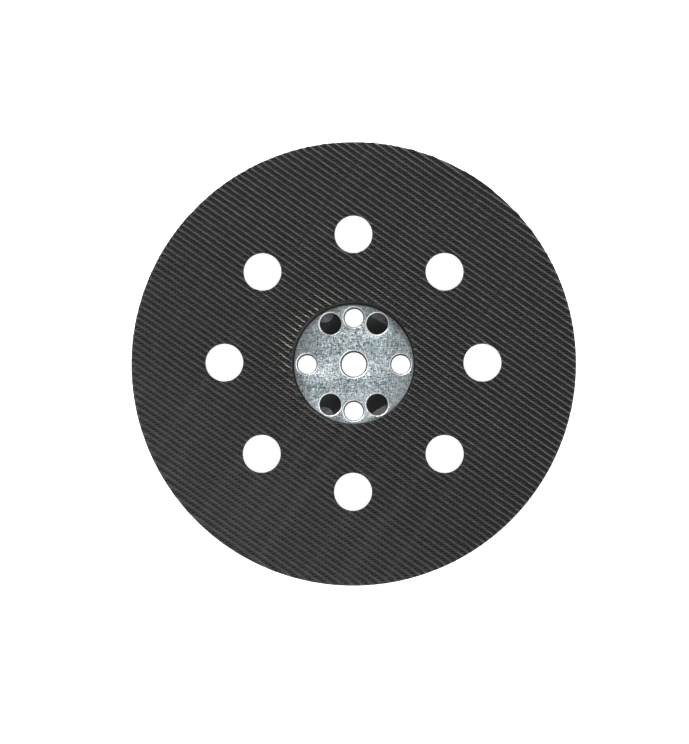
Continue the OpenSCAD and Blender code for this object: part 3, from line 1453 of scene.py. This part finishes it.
@dataclass
class Hub:
    """The steel plate in the recess, and the nylon carrier behind it.

    Attributes:
        pad: The pad's sizes.
        window_r: Radius of the plate's four closed holes.
        window_degrees: Their angles from the X axis.
        pocket_depth: Depth of the carrier's closed pockets, less a little for their floor.
        edge: Radius of the plate's edges.
        carrier_edge: Radius of the carrier's moulded edges.
    """

    pad: PadSizes
    window_r: float = 2.8 * MM
    window_degrees: tuple[float, ...] = (60, 120, 240, 300)
    pocket_depth: float = 2.0 * MM
    edge: float = 0.3 * MM
    carrier_edge: float = 0.25 * MM

    def build(self) -> None:
        """Builds the plate and dresses the carrier."""
        low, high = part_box("hub_plate")
        hole_steps = 48
        outlines = [circle_points(self.pad.plate_r, 160), circle_points(self.pad.bore_r, 64)]
        for quarter in range(4):
            outlines.append(self._ring(90.0 * quarter, self.pad.screw_r, hole_steps))
        for degrees in self.window_degrees:
            outlines.append(self._ring(degrees, self.window_r, hole_steps))
        mesh = filled_plate(outlines, low[2], high[2], self.edge, 4)
        piece = finish_piece("hub_plate_zinc", mesh, ZINC.build(), 50)
        mesh.materials.append(ZINC_EDGE_HIGHLIGHT.build())
        # Painted highlight: faces on the rolled edges, picked by their slope, get the paler zinc.
        for face in mesh.polygons:
            face.material_index = int(0.1 < face.normal.z < 0.985)
        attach(piece, BODY)
        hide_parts("hub_plate")
        self._dress_carrier()

    def _ring(self, degrees: float, radius: float, steps: int) -> list[Vector]:
        """Outline of a hole on the screw circle.

        Args:
            degrees: The hole's angle from the X axis.
            radius: Its radius.
            steps: How many points the outline has.

        Returns:
            A closed ring of points.
        """
        a = math.radians(degrees)
        centre = (self.pad.screw_circle_r * math.cos(a), self.pad.screw_circle_r * math.sin(a))
        return circle_points(radius, steps, centre)

    def _dress_carrier(self) -> None:
        """Copies the carrier, rounds its moulded edges and gives it its finish, with a painted highlight
        on the upward-facing faces of the studs in its pockets.
        """
        mesh = frame["nodes"]["carrier_plate"].data.copy()
        made = bmesh.new()
        made.from_mesh(mesh)
        bmesh.ops.remove_doubles(made, verts=made.verts, dist=1e-6)
        bmesh.ops.dissolve_limit(
            made, angle_limit=math.radians(1.0), verts=made.verts, edges=made.edges, delimit=set()
        )
        least = math.radians(40)
        sharp = [e for e in made.edges if len(e.link_faces) == 2 and e.calc_face_angle(0) > least]
        bmesh.ops.bevel(
            made,
            geom=sharp,
            offset=self.carrier_edge,
            segments=2,
            profile=0.5,
            affect="EDGES",
            clamp_overlap=True,
        )
        bmesh.ops.triangulate(made, faces=made.faces)
        made.to_mesh(mesh)
        made.free()
        piece = finish_piece("carrier_body", mesh, CARRIER_NYLON.build(), 45)
        mesh.materials.append(CARRIER_EDGE_HIGHLIGHT.build())
        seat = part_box("hub_plate")[0][2]
        # Painted highlight: upward-facing faces of the studs in the closed pockets get the paler,
        # glossier nylon.
        for face in mesh.polygons:
            out = math.hypot(face.center.x, face.center.y)
            across = abs(out - self.pad.screw_circle_r) < self.window_r
            within = seat - self.pocket_depth < face.center.z < seat - 0.1 * MM
            face.material_index = int(across and within and face.normal.z > 0.15)
        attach(piece, BODY)
        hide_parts("carrier_plate")


@dataclass
class BondFilm:
    """The hot-melt film between the tape and the cushion.

    Attributes:
        pad: The pad's sizes.
    """

    pad: PadSizes

    def build(self) -> None:
        """Builds the film."""
        low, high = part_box("bond_film")
        mesh = filled_plate(self.pad.face_outlines(0.05 * MM), low[2], high[2], 0.05 * MM, 2)
        piece = finish_piece("bond_film_bead", mesh, HOT_MELT.build())
        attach(piece, BODY)
        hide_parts("bond_film")


# -------------------------------------------------------------------------- the studio


@dataclass
class Studio:
    """Floor, lights and camera.

    Attributes:
        pad: The pad's sizes.
        distance: From the camera to the hook face.
        tilt_degrees: How far the camera leans from straight above, towards -Y.
        side_degrees: How far it leans towards +X.
        view_height: Height of the picture at the hook face.
        pad_right: How far the pad's axis stands to the right of the picture's middle.
        pad_up: How far it stands above the middle.
        tent_side: Brightness of the light tent's sides.
        tent_top: Its brightness overhead.
    """

    pad: PadSizes
    distance: float = 0.70
    tilt_degrees: float = 4.0
    side_degrees: float = 1.6
    view_height: float = 192.0 * MM
    pad_right: float = 2.24 * MM
    pad_up: float = 2.49 * MM
    tent_side: float = 0.72
    tent_top: float = 0.41

    def build(self) -> None:
        """Builds the floor, the lights and the camera."""
        self._floor()
        self._world()
        self._light("key", (-0.24, 0.38, 0.34), (0.16, 0.16), 3.0)
        self._light("side", (0.42, 0.20, 0.34), (0.30, 0.30), 1.4)
        self._light("fill", (0.38, -0.45, 0.60), (0.50, 0.50), 2.7)
        self._camera()
        settings = bpy.context.scene.view_settings
        settings.view_transform = "Standard"

    def _floor(self) -> None:
        """A pale light table, a little bright of itself so that the holes read clear."""
        mesh = bpy.data.meshes.new("floor")
        made = bmesh.new()
        bmesh.ops.create_circle(made, cap_ends=True, radius=6.0, segments=64)
        made.to_mesh(mesh)
        made.free()
        material = bpy.data.materials.new("floor_light_table")
        material.use_nodes = True
        tree = material.node_tree
        tree.nodes.clear()
        pale = add_node(
            tree,
            "ShaderNodeBsdfPrincipled",
            {
                "Base Color": linear("f4f4f4"),
                "Roughness": 0.9,
                "Emission Color": linear("ffffff"),
                "Emission Strength": 1.0,
            },
        )
        clear = add_node(tree, "ShaderNodeBsdfTransparent")
        back = add_node(tree, "ShaderNodeNewGeometry").outputs["Backfacing"]
        both = add_node(tree, "ShaderNodeMixShader", {0: back, 1: pale.outputs[0], 2: clear.outputs[0]})
        add_node(tree, "ShaderNodeOutputMaterial", {"Surface": both.outputs[0]})
        mesh.materials.append(material)
        floor = bpy.data.objects.new("floor", mesh)
        bpy.context.scene.collection.objects.link(floor)
        floor.location.z = CAD_BOX[0][2] - 0.05 * MM

    def _world(self) -> None:
        """A light tent: bright round its sides, and dimmer overhead, where the camera looks in."""
        world = bpy.data.worlds.new("light_tent")
        bpy.context.scene.world = world
        world.use_nodes = True
        tree = world.node_tree
        way = add_node(tree, "ShaderNodeTexCoord").outputs["Generated"]
        height = add_node(tree, "ShaderNodeSeparateXYZ", {0: way}).outputs["Z"]
        level = add_node(
            tree,
            "ShaderNodeMapRange",
            {
                "Value": height,
                "From Min": 0.55,
                "From Max": 0.95,
                "To Min": self.tent_side,
                "To Max": self.tent_top,
            },
            interpolation_type="SMOOTHSTEP",
        ).outputs["Result"]
        background = tree.nodes["Background"]
        background.inputs["Color"].default_value = linear("ffffff")
        tree.links.new(level, background.inputs["Strength"])

    def _light(
        self, name: str, place: tuple[float, float, float], size: tuple[float, float], watts: float
    ) -> None:
        """A soft box that faces the pad.

        Args:
            name: The light's name.
            place: Where it stands.
            size: Its width and height.
            watts: Its power.
        """
        data = bpy.data.lights.new(name, "AREA")
        data.shape = "RECTANGLE"
        data.size, data.size_y = size
        data.energy = watts
        light = bpy.data.objects.new(name, data)
        light.location = place
        towards = Vector((0, 0, self.pad.top_z)) - Vector(place)
        light.rotation_euler = towards.to_track_quat("-Z", "Y").to_euler()
        bpy.context.scene.collection.objects.link(light)

    def _camera(self) -> None:
        """The camera, almost square on to the hook face."""
        back = Vector(
            (math.tan(math.radians(self.side_degrees)), -math.tan(math.radians(self.tilt_degrees)), 1)
        )
        back.normalize()
        right = (Vector((1, 0, 0)) - back * back.x).normalized()
        up = back.cross(right)
        aim = Vector((0, 0, self.pad.top_z)) - right * self.pad_right - up * self.pad_up
        data = bpy.data.cameras.new("camera")
        data.sensor_width = 36.0
        data.lens = data.sensor_width * self.distance / self.view_height
        camera = bpy.data.objects.new("camera", data)
        turn = Matrix((right, up, back)).transposed().to_4x4()
        camera.matrix_world = Matrix.Translation(aim + back * self.distance) @ turn
        bpy.context.scene.collection.objects.link(camera)
        bpy.context.scene.camera = camera


def main() -> None:
    """Builds the pad and the studio round it."""
    logging.basicConfig(level=logging.INFO, format="%(message)s")
    pad = PadSizes.from_frame()
    Studio(pad).build()
    Cushion(pad).build()
    BondFilm(pad).build()
    HookTape(pad).build()
    Hub(pad).build()


if __name__ == "__main__":
    main()
